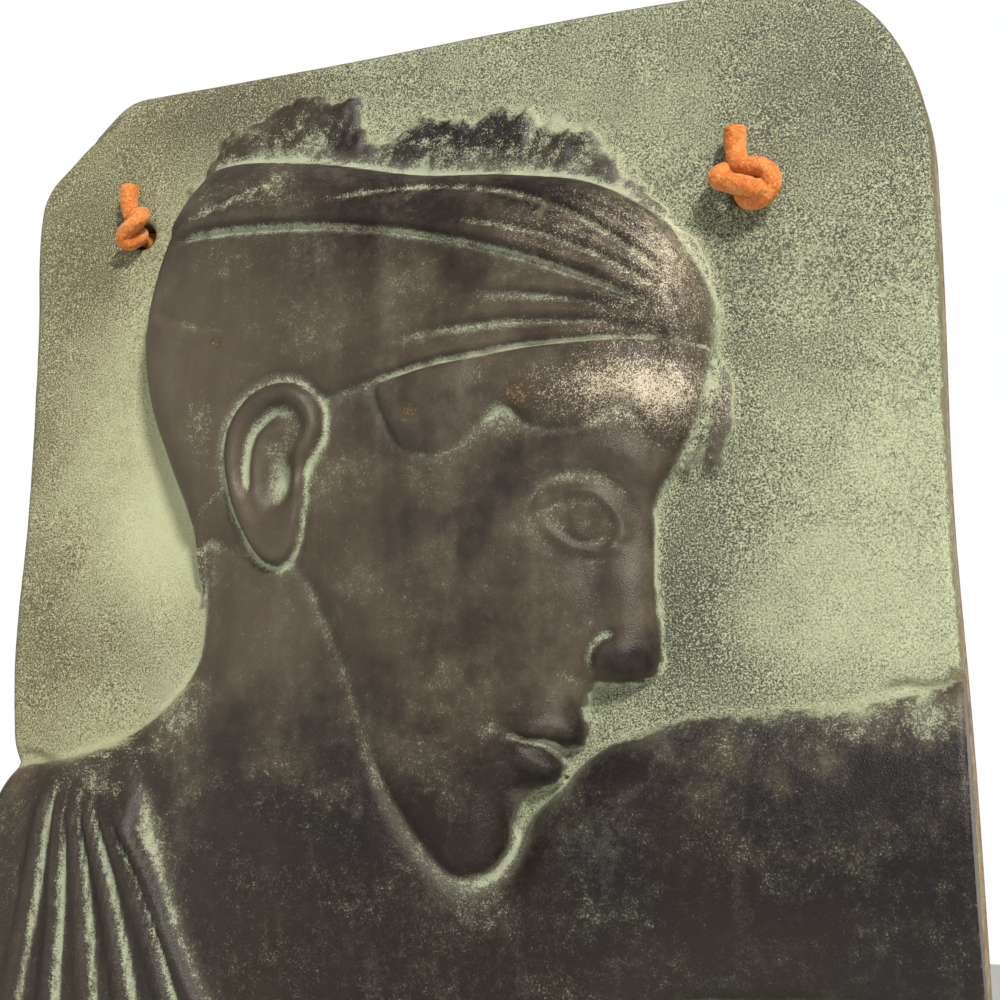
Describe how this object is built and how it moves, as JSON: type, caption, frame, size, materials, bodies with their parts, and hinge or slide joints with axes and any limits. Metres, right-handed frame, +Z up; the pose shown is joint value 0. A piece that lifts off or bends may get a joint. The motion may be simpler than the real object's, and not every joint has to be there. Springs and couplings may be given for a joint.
{
  "type": "relief plaque",
  "caption": "Upright rectangular wall plaque with a head and shoulders in low relief, one struck-off corner, and a soft hanging cord knotted in front.",
  "frame": {"origin": "the hang point: the underside of the cord where it bears on its nail, behind the plaque and about 11 mm below its top edge", "axes": "+Z up, +Y into the wall, +X to the viewer's right; the carved face looks towards -Y"},
  "size_m": [0.1826, 0.0302, 0.237],
  "materials": {
    "patinated_cast": "satin",
    "cord": "matte"
  },
  "bodies": {
    "root": {"plaque": "patinated_cast", "hanging_cord": "cord", "left_knot": "cord", "right_knot": "cord"}
  },
  "joints": []
}
